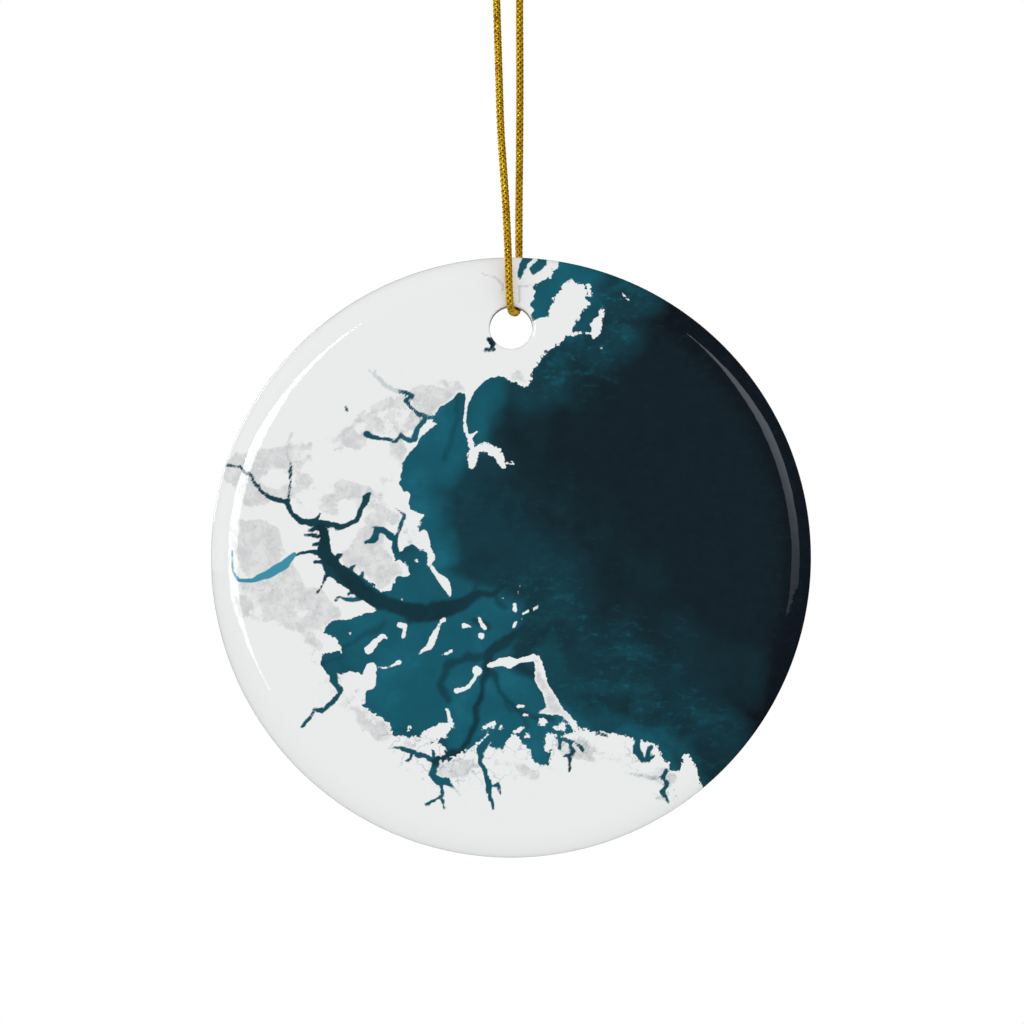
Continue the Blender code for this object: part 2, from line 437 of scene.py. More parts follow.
def tube_faces(rings, sides, first):
    """Faces of a closed tube whose rings of points follow each other from the index first."""
    faces = []
    for ring in range(rings - 1):
        for side in range(sides):
            a = first + ring * sides + side
            b = first + ring * sides + (side + 1) % sides
            faces.append((a, b, b + sides, a + sides))
    faces.append(tuple(range(first + sides - 1, first - 1, -1)))
    last = first + (rings - 1) * sides
    faces.append(tuple(range(last, last + sides)))
    return faces


def braid(line):
    """Points and faces of a round braid of flat yarns along the line, with each point's place on its yarn."""
    sides, ups = frames_along(line)
    gap = np.linalg.norm(np.diff(line, axis=0), axis=1).mean()
    distance = np.arange(len(line)) * gap
    length = distance[-1]
    to_end = np.minimum(distance, length - distance)
    spread = 1 + FRAY_SPREAD * (1 - smoothstep(0, FRAY_LENGTH, to_end))
    random = np.random.default_rng(4)
    points, faces, yarn_u, yarn_v = [], [], [], []

    def add_tube(centres, across, out, half_width, half_depth, count, shade):
        first = sum(len(part) for part in points)
        angles = np.arange(count) * math.tau / count
        ring = (
            centres[:, None]
            + np.cos(angles)[None, :, None] * across[:, None] * half_width
            + np.sin(angles)[None, :, None] * out[:, None] * half_depth
        )
        points.append(ring.reshape(-1, 3))
        faces.extend(tube_faces(len(centres), count, first))
        yarn_u.append(np.repeat(distances(centres), count))
        yarn_v.append(np.tile(np.cos(angles), len(centres)) * half_width + shade)

    for way in (1, -1):
        for yarn in range(YARNS_EACH_WAY):
            start, stop = (random.uniform(0, 0.5, 2) / gap).astype(int)
            keep = slice(start, len(line) - stop)
            turn = way * math.tau * distance / BRAID_PITCH + yarn * math.tau / YARNS_EACH_WAY
            # Each yarn passes over and under the yarns of the other way, which it meets twice as often.
            meet = YARNS_EACH_WAY * math.tau * distance / BRAID_PITCH
            radius = (BRAID_RADIUS + way * YARN_WAVE * np.cos(meet)) * spread
            out = np.cos(turn)[:, None] * sides + np.sin(turn)[:, None] * ups
            centres = line + out * radius[:, None]
            direction = np.gradient(centres, axis=0)
            across = unit(np.cross(direction, out))
            outward = unit(np.cross(across, direction))
            shade = (yarn + YARNS_EACH_WAY * (way > 0)) * YARN_SHADE
            add_tube(centres[keep], across[keep], outward[keep], YARN_HALF_WIDTH, YARN_HALF_DEPTH, YARN_SIDES,
                     shade)
    inner = slice(int(0.5 / gap), len(line) - int(0.5 / gap), 3)
    add_tube(line[inner], sides[inner], ups[inner], CORE_RADIUS, CORE_RADIUS, CORE_SIDES, CORE_SHADE)
    return np.concatenate(points), faces, np.concatenate(yarn_u), np.concatenate(yarn_v)


def gold_yarn():
    """Flat metallic thread: bright gold, with painted shade in dark brown where it tucks under and in its
    crevices, and fine lengthwise threads.
    """
    made, nodes = material("gold_cord")
    across = nodes.field("yarn_across")
    place = nodes.add("ShaderNodeCombineXYZ", {
        "X": nodes.math("MULTIPLY", nodes.field("yarn_along"), 0.9),
        "Y": nodes.math("MULTIPLY", across, 14.0),
    })
    threads = nodes.noise(place.outputs[0], 1.6, detail=3.0, roughness=0.6)
    where = nodes.add("ShaderNodeTexCoord").outputs["Object"]
    patches = nodes.noise(where, 900.0, detail=2.0)
    tone = nodes.math("ADD", nodes.math("MULTIPLY", threads, 0.65), nodes.math("MULTIPLY", patches, 0.35))
    colour = nodes.ramp(tone, [
        (0.34, linear(138, 72, 4)),
        (0.44, linear(232, 168, 12)),
        (0.56, linear(255, 216, 26)),
        (0.74, linear(255, 246, 112)),
    ])
    # Painted shade: the colour turns dark brown where ambient occlusion finds the yarns tucked under and the
    # crevices between them.
    crevice_shade_ao = nodes.add("ShaderNodeAmbientOcclusion", {"Distance": 0.0003}, samples=8)
    depth = nodes.fade(crevice_shade_ao.outputs["AO"], 0.36, 0.80)
    colour = nodes.mix(depth, linear(108, 42, 4), colour)
    # The core is a real part of the cord, but its dark brown is painted shade for the gaps between the yarns.
    core = nodes.math("GREATER_THAN", across, CORE_SHADE - 5)
    colour = nodes.mix(core, colour, linear(70, 34, 8))
    roughness = nodes.fade(threads, 0.25, 0.75, 0.40, 0.22)
    bump = nodes.add("ShaderNodeBump", {"Strength": 0.6, "Distance": 0.00004, "Height": threads})
    nodes.surface(nodes.add("ShaderNodeBsdfPrincipled", {
        "Base Color": colour, "Metallic": 0.72, "Roughness": roughness, "Normal": bump.outputs[0],
    }))
    return made


def cord_line():
    """The whole cord's middle line: left tail, knot, loop through the hole, knot, right tail."""
    starts = [LOOP_ROUTE[0], LOOP_ROUTE[-1]]
    ends = [TAIL_LEFT_ROUTE[0], TAIL_RIGHT_ROUTE[0]]
    left, right = tighten(loose_knot(KNOT_GAP), starts, ends, KNOT_ROUNDS, KNOT_CLEARANCE)
    pieces = [
        smooth_curve(TAIL_LEFT_ROUTE)[:0:-1],
        left[::-1],
        smooth_curve(LOOP_ROUTE)[1:-1],
        right,
        smooth_curve(TAIL_RIGHT_ROUTE)[1:],
    ]
    line = spaced(np.concatenate(pieces), CORD_STEP)
    # Light smoothing everywhere, and more where the pieces join.
    ease(line, np.ones(len(line)), LIGHT_ROUNDS)
    ease(line, near_joins(line, [left[0], left[-1], right[0], right[-1]], JOIN_REACH), JOIN_ROUNDS)
    return spaced(line, CORD_STEP)


def make_cord():
    line = cord_line()
    points, faces, along, across = braid(line)
    cord = add_mesh("gold_braided_cord", points, faces, gold_yarn(),
                    {"yarn_along": along, "yarn_across": across})
    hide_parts("cord_knot", "cord_tail_left", "cord_tail_right", "cord_top_front", "cord_top_back",
                "cord_leg_front", "cord_leg_back", "cord_bight")
    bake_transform(cord)


make_cord()


# ---- the printed coast

# The coast is drawn after the photo's, in millimetres from the disc's centre: x to the right, z up.
# A stroke's point is (x, z, half width), and an outline's point is (x, z).

OPEN_SEA = [
    (5.4, 41), (5.5, 36.6), (4.6, 34.2), (3.4, 33.5), (2.5, 33.1), (2.7, 32), (2.4, 31), (3.1, 30.2),
    (2.4, 29.3), (2.4, 28.4), (3.6, 29), (4.4, 29.2), (4.6, 30.1), (5.5, 31.6), (6.3, 33.2), (7.8, 33.5),
    (8.9, 32.9), (9.3, 32.1), (9.1, 31.3), (9.4, 30.4), (8.7, 29.8), (7.8, 28.2), (7.5, 27.3), (6.6, 26.5),
    (5.5, 25.6), (4.1, 24.8), (3.2, 23.7), (2.6, 22), (1.6, 20.6), (0.2, 21.2), (-1.4, 21.7), (-2.8, 21.7),
    (-3.8, 20.9), (-5.2, 20), (-6.4, 20.2), (-8, 18.5), (-9.2, 17.3), (-9.8, 15.8), (-11.6, 13.8),
    (-13, 11.6), (-13.4, 9), (-12.6, 7.8), (-12.2, 6), (-10.4, 5.3), (-11, 4.4), (-10.8, 2.8),
    (-10, 1.6), (-10.6, 0.8), (-12.2, 1.3), (-14.2, 0.8), (-14.4, -0.4), (-12.3, -0.9), (-12.2, -2),
    (-14, -2.3), (-14.6, -4.2), (-15.8, -3.9), (-18.2, -2.3), (-20, -3), (-17.6, -5.2), (-16.4, -6.4),
    (-18.6, -7.3), (-21.8, -7.7), (-22.5, -8.8), (-21, -10.2), (-20.6, -11.6), (-22.6, -11.6),
    (-23, -12.8), (-21.6, -13.8), (-19.2, -13.7), (-17.6, -14.4), (-16.8, -13.2), (-16, -14.6),
    (-17.4, -16.2), (-18, -17.6), (-16.2, -18.9), (-14.6, -20.2), (-14.2, -21.6), (-11.6, -21.6),
    (-9.6, -22.2), (-9.8, -24.4), (-8.2, -24.6), (-5.8, -23.6), (-3.4, -22.6), (-1, -23),
    (0.4, -21.3), (1.9, -22.4), (2.8, -24.6), (3.6, -25.2), (4.5, -24.2), (4.9, -22.6), (6.2, -21.4),
    (8.8, -20.9), (12.4, -21.1), (14.5, -21.7), (16.4, -22.4), (18.1, -23.4), (18.9, -24.8), (18.9, -26),
    (20.4, -25.9), (21.3, -24), (21.9, -23.8), (22.5, -26.2), (23.4, -28.4), (30, -41), (60, -30),
    (60, 30), (30, 60),
]

BARRIER = [(2.3, -11.8), (3.5, -11.9), (4.5, -15.3), (6.4, -18.2), (8.7, -20.9), (7.8, -20.9), (6.2, -19.1),
           (3, -18.8), (4.3, -18.1), (3.8, -16.4), (2.9, -14.9), (2.9, -13.2)]

LAND_STROKES = [
    # the sand bar to the west head, its spur and the head itself
    [(-4.9, 20.6, 0.7), (-5.3, 18.9, 0.22), (-5.6, 16.6, 0.17), (-5.3, 15, 0.22), (-4.8, 13.6, 0.4)],
    [(-5, 14.6, 0.3), (-4.1, 15.3, 0.1)], [(-4.7, 13.6, 0.3), (-4.6, 12.2, 0.62), (-4.7, 11.3, 0.42)],
    [(-4.2, 13, 0.45), (-3, 13.4, 0.55), (-1.8, 12.8, 0.58), (-1.2, 11.8, 0.46), (-0.8, 11.2, 0.34)],
    [(-1.2, 11.4, 0.2), (0.2, 11.6, 0.12)],
    # the spit that closes the creek's mouth
    [(-11.2, 14.9, 0.3), (-10.2, 15.8, 0.4), (-8.8, 16.4, 0.06)],
    # the neck and the long head south of the west bay
    [(-10.6, 3, 0.5), (-10.1, 1.4, 0.3), (-9.7, 0.2, 0.45), (-9.9, -0.8, 0.25), (-9, -2, 0.25),
     (-8.1, -2.9, 0.6), (-7.7, -3.6, 0.5), (-7.4, -4.6, 0.2)],
    # islands of the harbour
    [(-13.4, -8.2, 0.42), (-12.8, -8.3, 0.3), (-13, -9.6, 0.2)],
    [(-17.2, -11.2, 0.5), (-16.4, -10.2, 0.36), (-15.6, -9.5, 0.28), (-15, -9.8, 0.12)],
    [(-17, -13.4, 0.7), (-17.4, -15, 1)],
    [(-16.2, -13.3, 0.1), (-14.6, -13.2, 0.08), (-13.5, -12.6, 0.32)],
    [(-11.1, -11.6, 0.1), (-9.9, -10.7, 0.36), (-9.2, -9.2, 0.36), (-8.5, -7.9, 0.15), (-8.1, -7.5, 0.28)],
    [(-8.2, -11.8, 0.12), (-7.3, -11.4, 0.22)], [(-5.6, -8.3, 0.32), (-4.9, -8.4, 0.12)],
    [(-4, -7, 0.1), (-3.6, -7.8, 0.22), (-3.2, -8.5, 0.24)],
    [(-4.3, -14.4, 0.2), (-5.3, -15.7, 0.22), (-6.6, -16.1, 0.34)],
    [(-2.6, -13, 0.24), (-1.2, -12.7, 0.45), (-0.2, -12.7, 0.72), (1, -12.5, 0.2), (2.6, -12.1, 0.45)],
    [(0.8, -17.9, 0.24), (1.5, -17.9, 0.14)], [(-3.2, -20.5, 0.26), (-2.1, -20.1, 0.32)],
    [(4.8, -21.9, 0.7), (4.4, -23, 0.5)], [(-7.2, -20.4, 0.3), (-7.6, -18.6, 0.18), (-7.9, -18.2, 0.1)],
    [(-10.2, -21.7, 0.7), (-8.4, -20.9, 0.9), (-7.4, -20.3, 0.4)],
    [(-9.2, -22.7, 0.5), (-8.6, -23.4, 0.7)],
    [(-4.4, -22.9, 0.3), (-2.8, -22.1, 0.3), (-2.8, -21.4, 0.15)], [(1.6, -19, 0.2), (2.2, -19.2, 0.12)],
    [(0.6, -21, 0.3), (1.4, -20.6, 0.14)],
    # small rocks off the harbour's mouth
    [(0.5, -5.6, 0.18), (0.5, -6.3, 0.22)], [(1.4, -6.7, 0.16), (2, -6.5, 0.14)],
    [(2.7, -6.3, 0.16), (3.3, -5.9, 0.14)], [(0.5, -7.8, 0.2), (0.3, -8.4, 0.14)],
    # the east island, its sand bar and far rocks
    [(10.9, 30.1, 0.16), (10.9, 29.3, 0.36), (10.3, 28.1, 0.66), (10.2, 27.2, 0.6), (10, 26.7, 0.3)],
    [(7.2, 26.9, 0.2), (8.4, 27.3, 0.12), (9.6, 27.2, 0.12)], [(13.4, 31.9, 0.12), (14.3, 31, 0.1)],
    [(9.3, 32.9, 0.3), (9.6, 31.8, 0.14)], [(5.4, 36.6, 0.5), (5.3, 35.4, 0.4)],
]

# Single rocks and round islets: x, z and radius.
ROCKS = [
    (-11.4, -0.4, 0.2), (-3.7, -9.5, 0.38), (-4.1, -13.7, 0.62), (-1.1, -20.5, 0.22), (3.8, -19.9, 0.5),
    (6.2, -20.4, 0.5), (5.4, -20.6, 0.3), (2, -21.6, 0.24), (-12.3, -20.6, 0.2), (-13.2, -5, 0.14),
    (-19.4, -9.2, 0.16), (0.8, -4.2, 0.16), (1.1, -3.5, 0.12), (1.3, -7.4, 0.12), (-0.9, -4.9, 0.1),
    (10.9, 25.4, 0.16),
]

WATER_STROKES = [
    # narrow inlets at the top
    [(2.3, 37.4, 0.5), (1.6, 35.4, 0.45), (0.9, 33.9, 0.12)],
    [(4.1, 37.4, 0.7), (3.6, 35.7, 0.5), (2.8, 34.8, 0.45)],
    # the river, from the west to the harbour
    [(-36, 11.3, 0.1), (-32.9, 11.1, 0.13), (-31.6, 10, 0.13), (-30.2, 8.2, 0.16), (-28.9, 7.2, 0.26),
     (-27.2, 6.6, 0.28), (-26.4, 5.2, 0.3), (-25.4, 4.5, 0.4), (-22.9, 4, 0.52), (-22.6, 2.6, 0.5),
     (-22.6, 0.4, 0.7), (-21.8, -1, 0.9), (-20, -2.4, 1), (-17.6, -4.2, 1.05), (-15, -5.6, 0.9)],
    [(-27, 6.8, 0.2), (-26.7, 9, 0.15), (-26.8, 11.4, 0.08)], [(-24, 4.4, 0.18), (-23.2, 5.5, 0.12)],
    [(-22.4, 3.9, 0.36), (-20.4, 3.6, 0.24), (-18.8, 4.6, 0.3), (-18.1, 6.2, 0.34), (-17.5, 7.1, 0.42),
     (-16.8, 7.7, 0.14)],
    [(-22.6, 0.5, 0.5), (-24.4, 0.8, 0.24), (-26.2, 0.5, 0.16)],
    [(-21.8, -1.2, 0.3), (-22.9, -3.2, 0.16), (-23.6, -4.2, 0.1)],
    [(-16.8, -5, 0.2), (-20.8, -5, 0.16), (-21.2, -5.4, 0.12)], [(-24.7, 2.9, 0.08), (-22.9, 2.5, 0.14)],
    # creeks north of the harbour
    [(-13.8, 0.4, 0.4), (-14.1, 2, 0.4), (-15.3, 3.3, 0.42), (-16.4, 3.3, 0.4), (-16.8, 2.2, 0.5),
     (-17.6, 1.9, 0.24)],
    [(-14.1, 2.4, 0.22), (-13.2, 3.8, 0.15), (-12.9, 5.2, 0.15), (-14, 5.9, 0.1)],
    # the west bay's creeks and the marsh pool
    [(-8.9, 17.2, 0.2), (-10.6, 17.2, 0.25), (-12, 18.2, 0.22), (-12.7, 19, 0.2), (-11.9, 19.6, 0.15),
     (-12.9, 20, 0.2), (-13.6, 20.1, 0.16)],
    [(-10.5, 17, 0.26), (-11.2, 15.4, 0.28), (-12.2, 14.2, 0.28), (-13.2, 14.9, 0.2), (-14, 14, 0.17),
     (-15.4, 14.5, 0.16), (-17, 14.5, 0.3), (-17.4, 15, 0.45)],
    # the south-west river
    [(-22.4, -12.6, 0.5), (-21.5, -14, 0.36), (-21.2, -15.2, 0.3), (-20.6, -16.2, 0.26), (-21.6, -17.4, 0.24),
     (-22.6, -18.7, 0.2), (-23.8, -18.5, 0.16), (-24.4, -19.6, 0.18), (-25.4, -20.5, 0.2)],
    # creeks along the south shore
    [(-9.2, -24.6, 0.34), (-11.4, -23.6, 0.3), (-13.2, -22.9, 0.26), (-14.2, -23, 0.1)],
    [(-11.8, -23.6, 0.16), (-12.4, -24.4, 0.08)],
    [(-8.9, -24.4, 0.42), (-9.6, -26.2, 0.4), (-8.8, -27, 0.56), (-7.6, -26.9, 0.42), (-6.9, -27.8, 0.16)],
    [(-8.3, -27.2, 0.28), (-8.5, -28.8, 0.2), (-10.2, -30.1, 0.08)],
    [(-8.6, -29, 0.12), (-8, -30.4, 0.05)],
    [(-2.4, -21.8, 0.4), (-3.6, -23, 0.4), (-3.6, -24.6, 0.26), (-3.1, -26, 0.3), (-2.6, -27.4, 0.5),
     (-2.5, -28.6, 0.3), (-2.3, -30.4, 0.06)],
    [(-2.9, -27.2, 0.14), (-1.6, -27.6, 0.08), (-1.2, -28.6, 0.05)], [(5.8, -21.6, 0.25), (6, -23, 0.2)],
    [(7, -23.8, 0.12), (7.1, -25.8, 0.06)],
    [(18.8, -25.8, 0.3), (18.1, -26.7, 0.24), (18.9, -27.5, 0.24), (18.2, -28.5, 0.2), (19.1, -29.4, 0.16)],
    # pools and a stream in the south-east
    [(15.2, -22.2, 0.3), (15.4, -23.4, 0.5), (16.2, -24.6, 0.3), (17.4, -24.2, 0.2)],
    [(16.8, -23, 0.3), (16.6, -24, 0.2)], [(10.2, -21.2, 0.16), (11.6, -21.4, 0.2)],
    [(6.4, -22, 0.3), (7.8, -22.2, 0.16), (8.8, -23.2, 0.3)],
    [(7, -22.2, 0.16), (7.4, -23.6, 0.24), (6.4, -24, 0.16)],
    # slips between the piers along the river
    [(-23, 3.4, 0.3), (-24.3, 3.3, 0.1)], [(-22.8, 1.8, 0.3), (-23.9, 1.7, 0.1)],
    [(-22.4, -0.4, 0.4), (-23.8, -0.7, 0.1)], [(-21, -1.6, 0.4), (-22.4, -2.5, 0.1)],
    [(-19.6, -1.8, 0.4), (-19, -0.8, 0.1)], [(-18.4, -2.6, 0.4), (-17.9, -1.7, 0.1)],
    [(-21.6, -0.4, 0.4), (-20.6, 0.3, 0.1)], [(-18.6, -3.9, 0.4), (-19.8, -4.4, 0.1)],
    # a pond and a tiny lake
    [(-2.65, 26.3, 0.34), (-2.3, 25.9, 0.34)], [(-2.4, 25.8, 0.24), (-2.5, 25.3, 0.14)],
    [(-3.1, 25.25, 0.1), (-2, 25.2, 0.13)], [(-20, 18.4, 0.12), (-20, 18, 0.14)],
]

# A light reach of the river that keeps its own pale colour.
PALE_REACH = [(-26.3, 0.4, 0.3), (-27.4, -0.8, 0.55), (-29.4, -2, 0.5), (-31.4, -2.7, 0.3),
              (-32.9, -2.7, 0.18), (-33.6, -1.6, 0.14), (-33.8, 0.8, 0.1)]

# Each is a spine, how far its tone fades into deep water, and the tone along the spine: 0 is the lightest.
SHALLOWS = [
    ([(-7.6, 19, 1), (-9.6, 14, 3), (-11.4, 8, 1.6), (-10, 2, 0.8)], 5.5, 0.2),
    ([(-7, 14, 2.6), (-6, 7, 2.6), (-5, 1, 3), (-2, -3, 3), (3, -5, 3)], 11, 0.63),
    ([(-1, 12, 3), (4, 3, 4), (12, -4, 4)], 10, 0.84),
    ([(-3.4, 19.6, 1.4), (-4.4, 16, 0.7), (-4.5, 14, 0.3)], 4.5, 0.24),
    ([(1.6, 35, 2), (4, 31, 2.4), (8, 35, 1.5)], 7, 0.2),
    ([(9, 35, 1), (14.5, 32, 1.5)], 5, 0.6),
    ([(3, 20.6, 1.4), (8, 24.6, 1.5), (12, 26, 1.5)], 5.5, 0.58),
    ([(9, 28, 1.2), (8.4, 26.6, 0.8)], 3, 0.35),
    ([(-20, -8, 3), (-14, -10, 5), (-8, -14, 6), (-2, -20, 6), (4, -22, 4)], 4, 0.2),
    ([(-17, -13, 2.6), (-14, -17, 3.4), (-9, -19, 3)], 4, 0.2),
    ([(-13, -2, 4), (-10, -6, 3), (-5, -9, 3), (-2, -8, 1)], 4.5, 0.24),
    ([(0, -4, 2), (4, -6, 2)], 5, 0.67),
    ([(7, -11, 1), (13, -14, 3), (16, -17, 4), (21, -22, 3)], 8, 0.67),
    ([(22, -21, 3), (27, -23, 2)], 5, 0.7),
    ([(20, -8, 1), (26, -14, 2)], 6, 0.8),
    ([(9, -20.5, 0.5), (16, -22, 0.8), (21, -25, 1.2)], 4, 0.42),
    ([(14, -23.4, 2), (18.5, -28, 2)], 2, 0.3),
    ([(-14, -24, 2), (-9, -27, 3), (-2, -28, 3)], 3, 0.26),
    ([(-22, -14, 1.5), (-24, -20, 2)], 2.5, 0.3),
    ([(-17, 15, 2), (-12, 18, 3)], 3, 0.3),
    ([(-16.5, 2.5, 1.5), (-13, 4, 1.5)], 2.5, 0.34),
    ([(4.5, -12, 0.4), (7, -18, 0.4)], 4, 0.48),
]

# Dark channels on the sea bed: a spine and how dark it is.
CHANNELS = [
    ([(-23, 3.5, 0.5), (-22.6, 0.5, 0.7), (-20, -2.4, 0.9), (-16, -5.2, 0.8), (-12, -6.5, 0.8),
      (-9.4, -6.4, 0.95), (-7.4, -6, 0.8), (-5, -5, 0.4), (-2.6, -4.4, 0.3), (0, -3.4, 0.24)], 0.66),
    ([(-4.6, -5, 0.2), (-3.6, -2, 0.16), (-2.6, -0.4, 0.1)], 0.5),
    ([(-22, -11.6, 0.16), (-18, -9.4, 0.16), (-15.4, -7.6, 0.14)], 0.36),
    ([(-9.2, -24.6, 0.4), (-6.4, -23.4, 0.24), (-4.8, -21, 0.2), (-4.1, -18.4, 0.16), (-3.4, -15.4, 0.18),
      (-2.8, -13.4, 0.2), (-3, -11.8, 0.5), (0.4, -9.4, 0.4), (3, -8.2, 0.5), (7, -7.2, 1)], 0.62),
    ([(-7.6, -17.2, 0.3), (-8.4, -15.2, 0.3), (-7.6, -13, 0.3), (-5.4, -11.8, 0.4), (-3, -11.8, 0.4)], 0.46),
    ([(-2.8, -13.6, 0.3), (-1.2, -16, 0.14), (0.6, -18.4, 0.12), (2.4, -19.4, 0.12), (5, -19.6, 0.1)], 0.5),
    ([(-0.8, -16.4, 0.1), (-0.2, -18.6, 0.1)], 0.4),
    ([(0.8, -18.4, 0.1), (1.8, -20.6, 0.1)], 0.36),
    ([(-4.4, -7.8, 0.3), (-2.8, -8.6, 0.3)], 0.5),
    ([(-2.65, 26.3, 0.3), (-2.3, 25.9, 0.3)], 0.9),
    ([(-2.2, -4.5, 0.2), (-0.8, -6.2, 0.12)], 0.5),
    ([(-6.6, 19.8, 0.08), (-6.2, 17, 0.08), (-7.4, 14.4, 0.1), (-8.2, 12, 0.12)], 0.36),
    ([(-23, 3.9, 0.5), (-27, 6.6, 0.3)], 0.5),
]

# Grey marshes and built-up ground on the land.
MARSHES = [
    [(-33, 10.8, 1.6), (-29, 10.8, 1.8), (-25, 12.6, 1), (-21, 13.7, 0.9), (-17, 15.6, 1.6), (-13.6, 17.4, 2),
     (-10, 19, 1.6), (-6.5, 20.6, 0.8)],
    [(-31, 8, 1.4), (-28, 10, 2.2), (-25, 8, 1.6), (-21.5, 7.4, 1.8), (-17.6, 7.2, 1.2)],
    [(-33, 3, 1.2), (-30.5, 1.6, 2.6), (-27.6, -3.6, 2.4), (-31, -5, 2.2), (-25, -6.4, 2.6),
     (-22.4, -7.4, 1.4), (-24, -10.6, 1.2)],
    [(-16.4, 5.4, 1.2), (-17.6, 0.2, 1.9), (-15.2, -1.4, 1.4), (-16, -3.2, 0.8)],
    [(-14.6, 12.6, 1.6), (-14.4, 9.6, 1.4), (-14.4, 6.6, 1.6), (-12.6, 2.4, 0.6)],
    [(-20.6, -13.8, 0.8), (-19.8, -17.4, 1.4), (-16.4, -20, 1.4), (-13, -22.6, 1.4), (-8.4, -22.4, 1)],
    [(-12, -24.2, 1), (-6.4, -25.6, 0.8), (-1.4, -25.2, 1), (3, -26.2, 0.4)],
    [(3.4, -13.6, 1.2), (4.6, -16.6, 1.4), (6, -18.6, 1.2)], [(0.6, 22, 0.35), (1.6, 21.6, 0.3)],
    [(7, -22.6, 0.8), (19, -27, 0.6)],
]

# Places where the deep water is mottled with lighter patches: a spine, how strong they are and their size.
MOTTLES = [
    ([(3, 22.5, 2), (8, 23, 3.5), (11, 26, 3), (13.6, 32.6, 1.5)], 0.4, 1.4),
    ([(0, -3.5, 1.5), (3, -4, 2.5), (6, -6, 1.5)], 0.34, 1),
    ([(3, -9.5, 1), (12, -10.5, 2.5), (20, -10, 2.5)], 0.32, 2.4),
    ([(8, -16, 2), (18, -18, 4), (24, -22, 3)], 0.34, 2.2),
    ([(-6, 6, 2), (-2, 8, 2), (4, 6, 4), (10, 2, 3)], 0.14, 2.2),
    ([(18, 33, 2), (22, 24, 3)], 0.08, 2.4),
]

# Shores that are much broken up, and how much. The others are quiet beaches.
RUGGED = [
    ([(-20, -18, 1.5), (-14, -22, 2), (-8, -24, 3), (0, -23, 3), (6, -23, 2.5), (12, -22, 2),
      (20, -26, 2.5)], 1),
    ([(-25, 4, 1.5), (-21, -1, 2), (-17, -4, 1.5)], 0.7),
    ([(-24, -9, 2), (-22, -14, 2)], 0.6),
    ([(2, 29, 1.5), (3, 35, 3), (10, 31, 3)], 0.8),
    ([(-15, 3, 2), (-12, 0, 2)], 0.5),
    ([(1, 21, 1), (4, 23, 1.5), (7, 26, 1.5)], 0.5),
    ([(-4.5, 12.6, 1), (0, 11.5, 1)], 0.8),
]

# Ground that is cut by fine creeks, and how wide they are.
CREEKS = [
    ([(-15, -21.6, 1), (-9, -25, 2.2), (-2, -25, 2.2), (5, -23.5, 1.2)], 0.9),
    ([(7, -22.6, 1), (9, -23, 0.6)], 0.8),
    ([(15, -24, 1.2), (19, -28, 1.2)], 0.9),
    ([(-14, 15.5, 1), (-11, 19.5, 1.5)], 0.4),
    ([(-14.5, 4, 1.5), (-13, 2.4, 1.5)], 0.3),
    ([(-25, -10, 1), (-22, -15, 1.5)], 0.5),
]

# Thin grey streams and roads on the land.
TRACES = [
    [(-3.8, 34.6, 0.02), (-2.6, 33.9, 0.05), (-1.6, 33.8, 0.05), (-0.9, 33.2, 0.06), (-0.9, 32.4, 0.03)],
    [(1, 32.9, 0.05), (2.5, 33, 0.05)], [(1, 32.9, 0.05), (1.1, 31.4, 0.06), (0.9, 30.9, 0.04)],
    [(-13.4, 20.1, 0.2), (-14.4, 20.2, 0.16), (-15.3, 21, 0.14), (-16.4, 22, 0.1), (-17.2, 22.8, 0.05)],
    [(-16.6, 22, 0.05), (-16.4, 23, 0.02)], [(-33.4, 11.3, 0.04), (-34.6, 11.5, 0.04)],
    [(-26.8, 11.4, 0.05), (-27.4, 13.4, 0.03), (-26.6, 15, 0.02)],
    [(18.4, -26.7, 0.14), (16.6, -26.6, 0.1), (14.2, -26.2, 0.05)],
    [(18.8, -29.2, 0.12), (17.4, -29, 0.05)], [(-6.9, -27.8, 0.12), (-6.2, -28.8, 0.04)],
    [(-3.6, -25, 0.14), (-4.8, -25.4, 0.1), (-5.6, -26.4, 0.05)],
]


def rough(x, z, size, seed, octaves=4, persistence=0.5):
    """Fractal noise from about -1 to 1, whose largest features are size across."""
    total = np.zeros_like(x)
    weight = 1.0
    for octave in range(octaves):
        table = np.random.default_rng(seed + octave).uniform(-1, 1, (64, 64))
        u = x / size * 2**octave + 7.3 * octave
        v = z / size * 2**octave + 3.1 * octave
        i, j = np.floor(u).astype(int), np.floor(v).astype(int)
        a, b = u - i, v - j
        a, b = a * a * (3 - 2 * a), b * b * (3 - 2 * b)
        corners = [table[(i + di) % 64, (j + dj) % 64] for di in (0, 1) for dj in (0, 1)]
        low = corners[0] * (1 - b) + corners[1] * b
        high = corners[2] * (1 - b) + corners[3] * b
        total += weight * (low * (1 - a) + high * a)
        weight *= persistence
    return total


def inside_stroke(x, z, spine):
    """How far inside a stroke each place lies, less than 0 outside it."""
    best = np.full_like(x, -1e3)
    for (x0, z0, w0), (x1, z1, w1) in zip(spine, spine[1:]):
        dx, dz = x1 - x0, z1 - z0
        t = np.clip(((x - x0) * dx + (z - z0) * dz) / (dx * dx + dz * dz + 1e-12), 0, 1)
        reach = np.hypot(x - x0 - t * dx, z - z0 - t * dz)
        best = np.maximum(best, w0 + (w1 - w0) * t - reach)
    return best


def inside_any(x, z, spines):
    """How far inside the nearest of the strokes each place lies."""
    return np.maximum.reduce([inside_stroke(x, z, spine) for spine in spines])


def strongest(x, z, zones):
    """The greatest strength of the zones that reach each place. A zone is a spine and its strength."""
    return np.maximum.reduce([
        strength * smoothstep(-1.5, 0.5, inside_stroke(x, z, spine)) for spine, strength in zones
    ])


